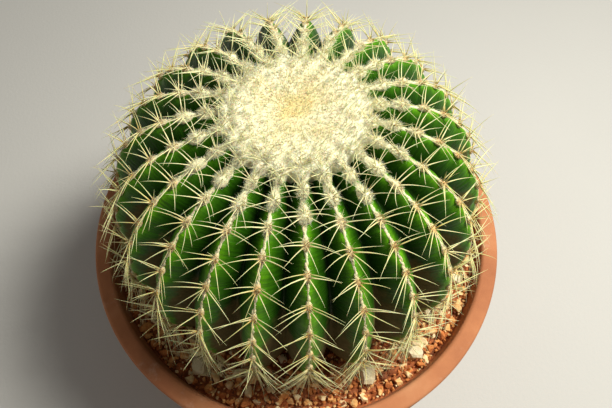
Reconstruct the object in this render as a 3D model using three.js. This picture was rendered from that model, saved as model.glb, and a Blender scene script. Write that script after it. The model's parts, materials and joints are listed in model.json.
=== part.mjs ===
// A round, ribbed barrel cactus in a plain clay pot, on red gravel.
// Millimetres, +Z up. The origin is on the table, under the middle of the pot.
// Longitude 0 is the front (-Y) and grows towards the right (+X).

import * as THREE from "three";

// ---- The cactus body -------------------------------------------------------------------------
const RIBS = 23;
const FIRST_RIB_DEG = 3.6; // longitude of rib 1
const BODY_RADIUS = 160; // over the rib crests, at the widest level
const BODY_HALF_HEIGHT = 120; // from the widest level to the crown, and to the hidden underside
const SHOULDER_POWER = 0.62; // 1 would be an ellipse, less is squarer
const RIB_DEPTH = 21; // crest to groove at the widest level
const CREST_HALF_WIDTH = 3.5;
const FLANK_SHARE = 0.42; // of the rib's depth, halfway down a flank: under 0.5 the flank bulges
const TOP_FADE = 0.5; // how the ribs grow shallow towards the crown
const BASE_FADE = 2; // and towards the underside
const BODY_LEVELS_DEG = [-68, -52, -38, -24, -10, 4, 18, 31, 43, 54, 64, 73];
const ROOT_NECK = { radius: 34, endRadius: 26, top: -122, bottom: -140 }; // from the widest level

// ---- The woolly crown ------------------------------------------------------------------------
const CROWN_SEAT = { radius: 71.4, height: 102 }; // flat spot among the ribs' inner ends
const CROWN_RADIUS = 70.5;
const CROWN_COLUMNS = 32;
const CROWN_DIP = 114; // height of the wool in the middle, over the widest level
const CROWN_SCALLOP = 3.5; // tufts round its edge
const CROWN_NEEDLE_EVERY = 3; // every third facet carries a needle
const CROWN_NEEDLE = { length: 13, lean: 0.3, sway: 2, neck: 0.22, tuft: 2.5 };

// ---- The woolly areoles and their spines, in one row on each rib -------------------------------
const FIRST_AREOLE_DEG = 70; // level of the first one under the crown
const FELT_START = -8.5; // along the rib from there: at the crown's edge
const AREOLE_STEP = 19; // along the rib, crown to base
const AREOLE_STEP_GROWTH = 1.5;
const AREOLE_STAGGER = 11 / RIBS; // of a step, from each rib to the next
const AREOLE_BASE_MARGIN = 14; // along the rib, above the gravel
const AREOLE = { halfLength: 4.2, width: 7, height: 4.5 };
const YOUNG_WOOL = { swell: 0.7, fade: 0.8 }; // the newest areoles are the fluffiest
const FELT_LINE = { width: 4, height: 1.8 }; // between the areoles
const FELT_SEAT = 0.8; // over the true crest, so that it clears the body's flats
const SPINE_JITTER_DEG = 4;
const SPINE_LENGTH_JITTER = 0.06;
const LOWEST_STANCE_DEG = -8; // lower areoles hold their spines as the ones at this level do
const SPINE_CLEARANCE = {
  side: 0.5, // to the plane halfway to the next rib
  crown: 1.5, // to the crown's wool
  gravel: 9,
};
const SPINE_BEND = { lean: 0.93, length: 0.985 }; // by which one is bent clear, over and over

// ---- The pot, the growing mix and the gravel ----------------------------------------------------
const POT_SEGMENTS = 60;
const POT_HEIGHT = 170;
const POT_FLOOR = 14;
const DRAIN_RADIUS = 12;
const FOOT = { outer: 140, inner: 118, height: 4, chamfer: 2 };
const RIM = { outer: 205, inner: 189, height: 43, round: 3 };
const WALL = { outerTop: 195, innerTop: 184, innerBottom: 127 };
const GAP = 0.3; // between pieces that rest on each other
const GRAVEL_TOP = 150;
const GRAVEL_DEPTH = 12;
const GRAVEL_ROWS = 6;
const GRAIN_HEIGHT = 4.5;
const GRAIN_SWAY = 0.5; // of the spacing of the grains
const BODY_CLEARANCE = 0.5;
const WIDEST_LEVEL = GRAVEL_TOP + 86; // height of the body's widest level over the table
const CHIP_SEAT = { height: GRAVEL_TOP + 2.5, border: 10 }; // level grains under a chip and round it
const CHIP = { thickness: 5.5, corners: 5, foot: 0.85, shoulder: 0.6 };
// Pale stone chips on the gravel: longitude, distance from the middle, length and width.
const CHIPS = [
  { deg: 24, radius: 162, length: 21, width: 12 },
  { deg: 41, radius: 171, length: 17, width: 11 },
  { deg: 55, radius: 158, length: 19, width: 9 },
  { deg: 71, radius: 169, length: 15, width: 11 },
  { deg: 118, radius: 164, length: 18, width: 11 },
  { deg: 187, radius: 167, length: 16, width: 10 },
  { deg: 262, radius: 161, length: 18, width: 10 },
  { deg: 327, radius: 168, length: 17, width: 12 },
];

const FINISH = {
  clay: { color: 0xb5613c, roughness: 0.85, metalness: 0 },
  mix: { color: 0x3a2a1e, roughness: 0.95, metalness: 0 },
  gravel: { color: 0x9c4a2a, roughness: 0.9, metalness: 0 },
  paleStone: { color: 0xe2cf9a, roughness: 0.8, metalness: 0 },
  skin: { color: 0x2c7a1a, roughness: 0.45, metalness: 0 },
  wool: { color: 0xf3ecc4, roughness: 0.95, metalness: 0 },
  spine: { color: 0xeadf9c, roughness: 0.5, metalness: 0 },
};

const rad = THREE.MathUtils.degToRad;
const RIB_PITCH = (2 * Math.PI) / RIBS;

// A seeded random number from 0 to 1.
function randomFrom(seed) {
  let state = seed;
  return () => {
    state = (state + 0x6d2b79f5) | 0;
    let t = Math.imul(state ^ (state >>> 15), 1 | state);
    t = (t + Math.imul(t ^ (t >>> 7), 61 | t)) ^ t;
    return ((t ^ (t >>> 14)) >>> 0) / 4294967296;
  };
}

// A point at a longitude, a distance from the pot's axis and a height over the table.
function polar(longitude, radius, height) {
  return new THREE.Vector3(
    radius * Math.sin(longitude),
    -radius * Math.cos(longitude),
    height,
  );
}

// Collects triangles, each anticlockwise when seen from outside.
class Surface {
  constructor() {
    this.corners = [];
  }
  triangle(a, b, c) {
    this.corners.push(a, b, c);
  }
  quad(a, b, c, d) {
    this.triangle(a, b, c);
    this.triangle(a, c, d);
  }
  // A triangle drawn out to a tip: a spine with three sides, rooted all round.
  spike(a, b, c, tip) {
    this.triangle(a, b, tip);
    this.triangle(b, c, tip);
    this.triangle(c, a, tip);
  }
  // Joins two rings of points, the second above the first, seen from outside the ring.
  band(lower, upper) {
    lower.forEach((point, i) => {
      const next = (i + 1) % lower.length;
      this.quad(point, lower[next], upper[next], upper[i]);
    });
  }
  // Closes a ring with a point above it, or below it.
  lid(ring, point, above) {
    ring.forEach((corner, i) => {
      const next = ring[(i + 1) % ring.length];
      if (above) this.triangle(corner, next, point);
      else this.triangle(next, corner, point);
    });
  }
  mesh(name, material) {
    const geometry = new THREE.BufferGeometry().setFromPoints(this.corners);
    geometry.computeVertexNormals();
    return named(name, geometry, material);
  }
}

function named(name, geometry, material) {
  const mesh = new THREE.Mesh(geometry, new THREE.MeshStandardMaterial(material));
  mesh.name = name;
  return mesh;
}

// ---- Shape of the body -------------------------------------------------------------------------

// The rib crest at a level, where 0 is the widest one and 90 the crown: its distance from the axis,
// its height, its outward normal and the way down along the rib, both as [away from axis, up].
function crestAt(levelDeg) {
  const level = rad(levelDeg);
  const c = Math.cos(level);
  const s = Math.sin(level);
  const slope = [
    BODY_RADIUS * SHOULDER_POWER * c ** (SHOULDER_POWER - 1) * s,
    -BODY_HALF_HEIGHT * c,
  ];
  const steepness = Math.hypot(...slope);
  const down = slope.map((x) => x / steepness);
  return {
    radius: BODY_RADIUS * c ** SHOULDER_POWER,
    height: WIDEST_LEVEL + BODY_HALF_HEIGHT * s,
    normal: [-down[1], down[0]],
    down,
  };
}

function ribDepthAt(levelDeg) {
  const fade = levelDeg > 0 ? TOP_FADE : BASE_FADE;
  return RIB_DEPTH * Math.cos(rad(levelDeg)) ** fade;
}

// One rib's outline across: longitudes from its crest, and how far down the flank each one lies.
function ribSection(crestRadius) {
  const crest = CREST_HALF_WIDTH / crestRadius;
  const groove = RIB_PITCH / 2;
  const flank = (crest + groove) / 2;
  return [
    [-flank, FLANK_SHARE],
    [-crest, 0],
    [crest, 0],
    [flank, FLANK_SHARE],
    [groove, 1],
  ];
}

// The body's section at a level: longitude, distance from the axis and height of each corner.
function bodySection(levelDeg) {
  const crest = crestAt(levelDeg);
  const depth = ribDepthAt(levelDeg);
  const corners = [];
  for (let rib = 0; rib < RIBS; rib++) {
    const middle = rad(FIRST_RIB_DEG) + rib * RIB_PITCH;
    for (const [across, share] of ribSection(crest.radius)) {
      corners.push({
        longitude: middle + across,
        radius: crest.radius - crest.normal[0] * depth * share,
        height: crest.height - crest.normal[1] * depth * share,
      });
    }
  }
  return corners;
}

function ringAt(corners, radius, height) {
  return corners.map((corner) => polar(corner.longitude, radius, height));
}

function makeBody() {
  const sections = BODY_LEVELS_DEG.map(bodySection);
  const rings = sections.map((corners) =>
    corners.map((c) => polar(c.longitude, c.radius, c.height)),
  );
  const lowest = sections[0];
  const highest = sections[sections.length - 1];
  const neckBottom = WIDEST_LEVEL + ROOT_NECK.bottom;
  const seat = WIDEST_LEVEL + CROWN_SEAT.height;
  rings.unshift(ringAt(lowest, ROOT_NECK.radius, WIDEST_LEVEL + ROOT_NECK.top));
  rings.unshift(ringAt(lowest, ROOT_NECK.endRadius, neckBottom));
  rings.push(ringAt(highest, CROWN_SEAT.radius, seat));

  const skin = new Surface();
  skin.lid(rings[0], polar(0, 0, neckBottom), false);
  for (let i = 1; i < rings.length; i++) skin.band(rings[i - 1], rings[i]);
  skin.lid(rings[rings.length - 1], polar(0, 0, seat), true);
  return skin.mesh("cactus_body", FINISH.skin);
}

// ---- Woolly crown ------------------------------------------------------------------------------

// The wool's outline from its edge to its middle: distance from the axis, and height.
const CROWN_OUTLINE = [
  [CROWN_RADIUS, CROWN_SEAT.height + GAP],
  [CROWN_RADIUS - 1, CROWN_SEAT.height + 9],
  [61, 116],
  [48, 121],
  [35, 121],
  [21, 118],
  [9, 115],
];

function makeCrown() {
  const random = randomFrom(7);
  const rings = CROWN_OUTLINE.map(([radius, height], row) =>
    Array.from({ length: CROWN_COLUMNS }, (_, i) => {
      const turn = ((i + row / 2) * 2 * Math.PI) / CROWN_COLUMNS;
      const tuck = row > 0 ? random() * CROWN_SCALLOP : 0;
      const lift = row > 1 ? (random() - 0.5) * CROWN_SCALLOP : 0;
      return polar(turn, radius - tuck, WIDEST_LEVEL + height + lift);
    }),
  );
  const wool = new Surface();
  wool.lid(rings[0], polar(0, 0, WIDEST_LEVEL + CROWN_OUTLINE[0][1]), false);
  wool.band(rings[0], rings[1]);

  // A tuft of wool with a needle standing out of it.
  const tuftedTriangle = (a, b, c) => {
    const middle = a.clone().add(b).add(c).divideScalar(3);
    const out = b.clone().sub(a).cross(c.clone().sub(a)).normalize();
    const [neckA, neckB, neckC] = [a, b, c].map((corner) =>
      middle
        .clone()
        .lerp(corner, CROWN_NEEDLE.neck)
        .addScaledVector(out, CROWN_NEEDLE.tuft),
    );
    wool.quad(a, b, neckB, neckA);
    wool.quad(b, c, neckC, neckB);
    wool.quad(c, a, neckA, neckC);
    const { length, lean, sway } = CROWN_NEEDLE;
    const outwards = (lean * length * Math.hypot(middle.x, middle.y)) / CROWN_RADIUS;
    const tip = middle.clone().add(polar(Math.atan2(middle.x, -middle.y), outwards, length));
    tip.x += (random() - 0.5) * sway;
    tip.y += (random() - 0.5) * sway;
    wool.spike(neckA, neckB, neckC, tip);
  };

  let facet = 0;
  const woolTriangle = (a, b, c) => {
    facet++;
    if (facet % CROWN_NEEDLE_EVERY) wool.triangle(a, b, c);
    else tuftedTriangle(a, b, c);
  };
  for (let row = 2; row < rings.length; row++) {
    rings[row].forEach((point, i) => {
      const next = (i + 1) % CROWN_COLUMNS;
      woolTriangle(rings[row - 1][i], rings[row - 1][next], point);
      woolTriangle(rings[row - 1][next], rings[row][next], point);
    });
  }
  wool.lid(rings[rings.length - 1], polar(0, 0, WIDEST_LEVEL + CROWN_DIP), true);
  return wool.mesh("crown_wool", FINISH.wool);
}

// ---- Areoles and spines ------------------------------------------------------------------------

// The spines of one areole, anticlockwise from the top, seen from outside. Each grows from its own
// sector of the wool, and turns and leans within it: turn is counted from straight up the rib, and
// lean from straight out. The last sector has none.
const SPINES = [
  { turn: 12, lean: 6, length: 34 },
  { turn: 60, lean: 50, length: 25 },
  { turn: 112, lean: 56, length: 28 },
  { turn: 162, lean: 50, length: 28 },
  { turn: 198, lean: 32, length: 31 },
  { turn: 248, lean: 56, length: 28 },
  { turn: 300, lean: 50, length: 25 },
  null,
];

// The crest in short steps from the first areole down into the mix, to measure along it.
const CREST_STEP_DEG = 0.5;
const CREST_STEPS = (() => {
  const steps = [];
  let along = 0;
  let last = null;
  for (let deg = FIRST_AREOLE_DEG; deg > BODY_LEVELS_DEG[1]; deg -= CREST_STEP_DEG) {
    const here = crestAt(deg);
    if (last) along += Math.hypot(here.radius - last.radius, here.height - last.height);
    steps.push({ deg, along });
    last = here;
  }
  return steps;
})();

// The level that lies a distance along the crest under the first areole, also above it.
function levelAlong(distance) {
  if (distance <= 0) {
    const [a, b] = CREST_STEPS;
    return a.deg + ((b.deg - a.deg) * distance) / b.along;
  }
  const i = CREST_STEPS.findIndex((step) => step.along >= distance);
  const [a, b] = [CREST_STEPS[i - 1], CREST_STEPS[i]];
  return a.deg + ((b.deg - a.deg) * (distance - a.along)) / (b.along - a.along);
}

const CREST_LENGTH = CREST_STEPS.find(
  (step) => crestAt(step.deg).height < GRAVEL_TOP + GRAIN_HEIGHT,
).along;
const LOWEST_STANCE = CREST_STEPS.find((step) => step.deg <= LOWEST_STANCE_DEG).along;

// Distances of a rib's areoles along its crest.
function areolesOf(rib) {
  const stagger = (rib * AREOLE_STAGGER) % 1;
  const places = [];
  for (let k = 0; ; k++) {
    const n = k + stagger;
    const along = n * AREOLE_STEP + (AREOLE_STEP_GROWTH * n * n) / 2;
    if (along > CREST_LENGTH - AREOLE_BASE_MARGIN) return places;
    places.push(along);
  }
}

// A rib's own axes at a distance along its crest: right, down the rib and outwards.
function crestFrame(longitude, along) {
  const crest = crestAt(levelAlong(along));
  const away = polar(longitude, 1, 0);
  const lift = ([outwards, up]) =>
    away.clone().multiplyScalar(outwards).add(new THREE.Vector3(0, 0, up));
  return {
    origin: polar(longitude, crest.radius, crest.height),
    right: new THREE.Vector3(Math.cos(longitude), Math.sin(longitude), 0),
    down: lift(crest.down),
    out: lift(crest.normal),
  };
}

// Three corners across the felt: left, right and top.
function feltRing(longitude, along, width, height) {
  const { origin, right, out } = crestFrame(longitude, along);
  const foot = origin.clone().addScaledVector(out, FELT_SEAT);
  return {
    left: foot.clone().addScaledVector(right, -width / 2),
    right: foot.clone().addScaledVector(right, width / 2),
    top: foot.clone().addScaledVector(out, height),
  };
}

// How far a point lies past the plane halfway between two ribs, seen from a rib's longitude.
function pastHalfway(point, longitude) {
  const turn = longitude - Math.atan2(point.x, -point.y);
  const away = Math.abs(turn - 2 * Math.PI * Math.round(turn / (2 * Math.PI)));
  return Math.hypot(point.x, point.y) * (away - RIB_PITCH / 2);
}

// The tip of a spine, bent clear of the next rib's spines, the crown and the gravel.
function spineTip(root, frame, longitude, spine, random) {
  const jitter = () => (random() - 0.5) * 2;
  const turn = rad(spine.turn + jitter() * SPINE_JITTER_DEG);
  let lean = rad(spine.lean + jitter() * SPINE_JITTER_DEG);
  let length = spine.length * (1 + jitter() * SPINE_LENGTH_JITTER);
  const tip = new THREE.Vector3();
  const meetsSomething = () =>
    pastHalfway(tip, longitude) > -SPINE_CLEARANCE.side ||
    Math.hypot(tip.x, tip.y) < CROWN_RADIUS + SPINE_CLEARANCE.crown ||
    tip.z < GRAVEL_TOP + SPINE_CLEARANCE.gravel;
  do {
    tip
      .copy(root)
      .addScaledVector(frame.right, -length * Math.sin(turn) * Math.sin(lean))
      .addScaledVector(frame.down, -length * Math.cos(turn) * Math.sin(lean))
      .addScaledVector(frame.out, length * Math.cos(lean));
    lean *= SPINE_BEND.lean;
    length *= SPINE_BEND.length;
  } while (meetsSomething());
  return tip;
}

// An areole: its wool's top, and the rim round it, anticlockwise from the top of the rib.
function areoleAt(longitude, along) {
  const wool = 1 + YOUNG_WOOL.swell * Math.exp(-along / AREOLE_STEP / YOUNG_WOOL.fade);
  const reach = AREOLE.halfLength * wool;
  const { width, height } = FELT_LINE;
  const above = feltRing(longitude, along - reach, width, height);
  const middle = feltRing(longitude, along, AREOLE.width * wool, AREOLE.height * wool);
  const below = feltRing(longitude, along + reach, width, height);
  const leftRim = [above.top, above.left, middle.left, below.left];
  const rightRim = [below.top, below.right, middle.right, above.right];
  return { above, middle, below, rim: [...leftRim, ...rightRim] };
}

// The line of felt along a rib's crest, with its areoles and their spines. Every second areole has
// its spines mirrored.
function makeRibSpines(rib) {
  const random = randomFrom(100 + rib);
  const longitude = rad(FIRST_RIB_DEG) + rib * RIB_PITCH;
  const felt = new Surface();
  let last = feltRing(longitude, FELT_START, FELT_LINE.width, FELT_LINE.height);
  felt.triangle(last.left, last.top, last.right);

  areolesOf(rib).forEach((along, place) => {
    const { above, middle, below, rim } = areoleAt(longitude, along);
    felt.quad(last.left, above.left, above.top, last.top);
    felt.quad(last.top, above.top, above.right, last.right);
    felt.quad(last.right, above.right, above.left, last.left);
    felt.quad(above.right, middle.right, middle.left, above.left);
    felt.quad(middle.right, below.right, below.left, middle.left);
    last = below;

    const frame = crestFrame(longitude, Math.min(along, LOWEST_STANCE));
    const mirrored = place % 2 === 1;
    rim.forEach((corner, sector) => {
      const next = rim[(sector + 1) % rim.length];
      const spine = SPINES[mirrored ? rim.length - 1 - sector : sector];
      if (!spine) {
        felt.triangle(middle.top, corner, next);
        return;
      }
      const root = middle.top.clone().add(corner).add(next).divideScalar(3);
      const way = mirrored ? { ...spine, turn: -spine.turn } : spine;
      felt.spike(middle.top, corner, next, spineTip(root, frame, longitude, way, random));
    });
  });
  felt.triangle(last.left, last.right, last.top);
  return felt.mesh(`rib_${String(rib + 1).padStart(2, "0")}_spines`, FINISH.spine);
}

// ---- Pot and growing mix -----------------------------------------------------------------------

function lathe(name, outline, material) {
  const points = outline.map(([radius, height]) => new THREE.Vector2(radius, height));
  const geometry = new THREE.LatheGeometry(points, POT_SEGMENTS);
  geometry.rotateX(Math.PI / 2);
  return named(name, geometry, material);
}

// The inside of the pot's wall at a height, below the rim.
function potInside(height) {
  const share = (height - POT_FLOOR) / (POT_HEIGHT - RIM.height - POT_FLOOR);
  const lowerWall = WALL.innerBottom + (WALL.innerTop - WALL.innerBottom) * share;
  const rimShare = (height - POT_HEIGHT + RIM.height) / RIM.height;
  const rimWall = WALL.innerTop + (RIM.inner - WALL.innerTop) * rimShare;
  return share < 1 ? lowerWall : rimWall;
}

function makePot() {
  const rimFoot = POT_HEIGHT - RIM.height;
  const outline = [
    [DRAIN_RADIUS, FOOT.height],
    [FOOT.inner - FOOT.height, FOOT.height],
    [FOOT.inner, 0],
    [FOOT.outer, 0],
    [FOOT.outer + FOOT.chamfer, FOOT.chamfer],
    [WALL.outerTop, rimFoot],
    [RIM.outer - RIM.round, rimFoot],
    [RIM.outer, rimFoot + RIM.round],
    [RIM.outer, POT_HEIGHT - RIM.round],
    [RIM.outer - RIM.round, POT_HEIGHT],
    [RIM.inner + RIM.round, POT_HEIGHT],
    [RIM.inner, POT_HEIGHT - RIM.round],
    [WALL.innerTop, rimFoot],
    [WALL.innerBottom, POT_FLOOR],
    [DRAIN_RADIUS, POT_FLOOR],
    [DRAIN_RADIUS, FOOT.height],
  ];
  return lathe("pot", outline, FINISH.clay);
}

// The mix fills the pot up to the gravel. The cactus stands in a plain hollow in it.
function makeGrowingMix() {
  const top = GRAVEL_TOP - GRAVEL_DEPTH - GAP;
  const rimFoot = POT_HEIGHT - RIM.height;
  const widen = 1 / Math.cos(Math.PI / POT_SEGMENTS);
  const hollow = BODY_LEVELS_DEG.map(crestAt)
    .filter((crest) => crest.height < top)
    .map((crest) => [(crest.radius + GAP * 2) * widen, crest.height - GAP * 2]);
  const brimLevel = THREE.MathUtils.radToDeg(Math.asin((top - WIDEST_LEVEL) / BODY_HALF_HEIGHT));
  const outline = [
    [0, WIDEST_LEVEL + ROOT_NECK.bottom - GAP],
    [(ROOT_NECK.endRadius + GAP * 2) * widen, WIDEST_LEVEL + ROOT_NECK.bottom - GAP],
    [(ROOT_NECK.radius + GAP * 2) * widen, WIDEST_LEVEL + ROOT_NECK.top - GAP],
    ...hollow,
    [(crestAt(brimLevel).radius + GAP * 2) * widen, top],
    [potInside(top) - GAP, top],
    [WALL.innerTop - GAP, rimFoot],
    [WALL.innerBottom - GAP, POT_FLOOR + GAP],
    [0, POT_FLOOR + GAP],
  ];
  return lathe("growing_mix", outline.reverse(), FINISH.mix);
}

// ---- Gravel ------------------------------------------------------------------------------------

// The body's distance from the axis, in one of its columns, at a height just over the gravel, or
// under it on the same flat of the body.
function bodyRadiusIn(column, height) {
  const sections = BODY_LEVELS_DEG.map((deg) => bodySection(deg)[column]);
  const i = sections.findIndex((corner) => corner.height > GRAVEL_TOP);
  const [a, b] = [sections[i - 1], sections[i]];
  const share = (height - a.height) / (b.height - a.height);
  return a.radius + (b.radius - a.radius) * share;
}

function underChip(point) {
  return CHIPS.some((chip) => {
    const middle = polar(rad(chip.deg), chip.radius, point.z);
    return point.distanceTo(middle) < chip.length / 2 + CHIP_SEAT.border;
  });
}

// Columns of points from the body out to the pot, one column for each corner of the body's ring.
const GRAVEL_COLUMNS = (() => {
  const random = randomFrom(3);
  const corners = bodySection(BODY_LEVELS_DEG.findLast((deg) => crestAt(deg).height < GRAVEL_TOP));
  const bottom = GRAVEL_TOP - GRAVEL_DEPTH;
  const potWall = (height) => potInside(height) * Math.cos(Math.PI / POT_SEGMENTS) - GAP;
  const step = (2 * Math.PI) / corners.length;
  return corners.map(({ longitude }, column) => {
    const innerBottom = bodyRadiusIn(column, bottom) + BODY_CLEARANCE;
    const inner = bodyRadiusIn(column, GRAVEL_TOP + GRAIN_HEIGHT) + BODY_CLEARANCE;
    const pitch = (potWall(GRAVEL_TOP) - inner) / (GRAVEL_ROWS - 1);
    const points = [polar(longitude, innerBottom, bottom)];
    for (let row = 0; row < GRAVEL_ROWS; row++) {
      const loose = row > 0 && row < GRAVEL_ROWS - 1 ? GRAIN_SWAY : 0;
      const radius = inner + pitch * (row + (random() - 0.5) * loose);
      const turn = (random() - 0.5) * loose * step;
      const grain = polar(longitude + turn, radius, GRAVEL_TOP + random() * GRAIN_HEIGHT);
      if (underChip(grain)) grain.z = CHIP_SEAT.height;
      points.push(grain);
    }
    points.push(polar(longitude, potWall(bottom), bottom));
    return points;
  });
})();

function makeGravel() {
  const bed = new Surface();
  GRAVEL_COLUMNS.forEach((column, i) => {
    const next = GRAVEL_COLUMNS[(i + 1) % GRAVEL_COLUMNS.length];
    column.forEach((point, row) => {
      const after = (row + 1) % column.length;
      bed.quad(point, column[after], next[after], next[row]);
    });
  });
  return bed.mesh("gravel", FINISH.gravel);
}

// An angular chip that lies on the grains: a plate with a smaller foot, and a low point on top.
function makeChip(chip, index) {
  const random = randomFrom(40 + index);
  const middle = polar(rad(chip.deg), chip.radius, CHIP_SEAT.height + GAP);
  const heading = random() * Math.PI;
  const shape = Array.from({ length: CHIP.corners }, (_, i) => {
    const turn = ((i + random() / 2) * 2 * Math.PI) / CHIP.corners;
    const across = (Math.cos(turn) * chip.length) / 2;
    const along = (Math.sin(turn) * chip.width) / 2;
    return new THREE.Vector3(across, along, 0);
  });
  const placed = (corner, scale, height) =>
    new THREE.Vector3(0, 0, height)
      .addScaledVector(corner, scale)
      .applyAxisAngle(new THREE.Vector3(0, 0, 1), heading)
      .add(middle);
  const foot = shape.map((corner) => placed(corner, CHIP.foot, 0));
  const shoulder = shape.map((corner) => placed(corner, 1, CHIP.thickness * CHIP.shoulder));
  const top = middle.clone().setZ(middle.z + CHIP.thickness);
  const stone = new Surface();
  stone.lid(foot, middle, false);
  stone.band(foot, shoulder);
  stone.lid(shoulder, top, true);
  return stone.mesh(`pale_chip_${index + 1}`, FINISH.paleStone);
}

// ---- The plant in its pot ------------------------------------------------------------------------

const pottedCactus = new THREE.Group();
pottedCactus.add(makePot(), makeGrowingMix(), makeGravel());
CHIPS.forEach((chip, index) => pottedCactus.add(makeChip(chip, index)));
pottedCactus.add(makeBody(), makeCrown());
for (let rib = 0; rib < RIBS; rib++) pottedCactus.add(makeRibSpines(rib));

export default pottedCactus;
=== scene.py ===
# %% [markdown]
# # A round cactus in a clay pot
#
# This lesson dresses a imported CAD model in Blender: a barrel cactus with 23 woolly, spiny
# ribs, a felt crown, a bed of crushed red stone and a plain clay pot. The CAD part gives
# the place and the size of everything. Each cell adds one finer piece over it.

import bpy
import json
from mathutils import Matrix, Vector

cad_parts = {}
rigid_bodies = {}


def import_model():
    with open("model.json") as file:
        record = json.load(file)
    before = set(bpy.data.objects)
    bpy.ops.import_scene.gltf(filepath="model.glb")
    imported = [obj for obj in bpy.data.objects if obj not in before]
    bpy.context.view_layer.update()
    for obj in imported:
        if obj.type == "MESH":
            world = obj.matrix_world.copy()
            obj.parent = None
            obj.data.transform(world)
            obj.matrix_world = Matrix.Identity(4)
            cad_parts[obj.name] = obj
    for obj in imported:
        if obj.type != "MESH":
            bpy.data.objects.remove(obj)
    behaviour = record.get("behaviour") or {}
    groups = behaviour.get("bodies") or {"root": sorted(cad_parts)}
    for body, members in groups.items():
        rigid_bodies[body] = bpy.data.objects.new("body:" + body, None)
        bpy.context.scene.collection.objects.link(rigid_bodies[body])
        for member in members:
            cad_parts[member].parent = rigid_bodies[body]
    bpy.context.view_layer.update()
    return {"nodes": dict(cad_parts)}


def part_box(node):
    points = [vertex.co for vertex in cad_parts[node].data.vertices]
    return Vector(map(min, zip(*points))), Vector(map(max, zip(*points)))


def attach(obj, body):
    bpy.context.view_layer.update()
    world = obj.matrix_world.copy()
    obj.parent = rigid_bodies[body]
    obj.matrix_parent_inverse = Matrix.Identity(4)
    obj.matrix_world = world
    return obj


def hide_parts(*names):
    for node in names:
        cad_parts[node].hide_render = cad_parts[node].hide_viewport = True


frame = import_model()

# %% The tools of this lesson
import json
import math
from collections import namedtuple

import bmesh
import bpy
import numpy as np
from mathutils import Vector

MM = 0.001
FULL_TURN = 2 * math.pi
QUARTER_TURN = math.pi / 2
NEARLY_ZERO = 1e-6


def millimetres(*sizes):
    return [round(size / MM, 1) for size in sizes]


def put_in_scene(name, data):
    thing = bpy.data.objects.new(name, data)
    bpy.context.scene.collection.objects.link(thing)
    return thing


# %% [markdown]
# ## Camera
#
# The camera looks down on the plant at a steep angle, from close by, so the crown sits high
# in the picture and the ribs fan out below it. It could stand further off with a longer
# lens, but then the near ribs wouldn't look larger than the far ones. The small shift does
# what framing by hand does: it moves the plant in the picture without turning the camera.

# %% Camera
camera_data = bpy.data.cameras.new("view_from_above")
camera_data.sensor_width = 36
camera_data.lens = 32.19
camera_data.shift_x = 0.0158
camera_data.shift_y = -0.0216
camera = put_in_scene("view_from_above", camera_data)
camera.location = (0, -0.2459, 0.6796)
camera.rotation_euler = (math.radians(29), 0, 0)
bpy.context.scene.camera = camera
print("Camera", millimetres(*camera.location), "mm, lens", camera_data.lens)

# %% [markdown]
# ## Light and air
#
# A cactus this deep in its folds needs a main light from overhead: it catches the crests
# and leaves the grooves dark. A large, soft lamp gives the spines fine shadows that don't
# look cut out. A weak lamp from the left and a pale sky fill what the main one misses.

# %% Lamps
LAMP_AIM = Vector((0, 0, 0.25))


def add_lamp(name, place, size, power, colour):
    data = bpy.data.lights.new(name, "AREA")
    data.size = size
    data.energy = power
    data.color = colour
    lamp = put_in_scene(name, data)
    lamp.location = place
    towards_plant = LAMP_AIM - lamp.location
    lamp.rotation_euler = towards_plant.to_track_quat("-Z", "Y").to_euler()
    print("Lamp", name, power, "W")


add_lamp("key_above", place=(0.7, 0.1, 1.35), size=0.4, power=29, colour=(1, 0.965, 0.86))
add_lamp("fill_left", place=(-1.3, -0.6, 0.9), size=1.2, power=1.5, colour=(1, 0.95, 0.86))

# %% Sky and picture tones
world = bpy.data.worlds.new("pale_air")
world.use_nodes = True
sky = world.node_tree.nodes["Background"]
sky.inputs["Color"].default_value = (1, 0.96, 0.88, 1)
sky.inputs["Strength"].default_value = 0.16
bpy.context.scene.world = world
bpy.context.scene.view_settings.view_transform = "Standard"
print("Sky", sky.inputs["Strength"].default_value)

# %% [markdown]
# ## Helpers for materials
#
# A finish is a small tree of nodes: noise for colour that varies, an attribute of the mesh
# for what follows the form, and a bump for the grain. The nodes could be wired by hand in
# the editor. These helpers only shorten the typing, so that each finish below reads as a
# recipe.


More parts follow.
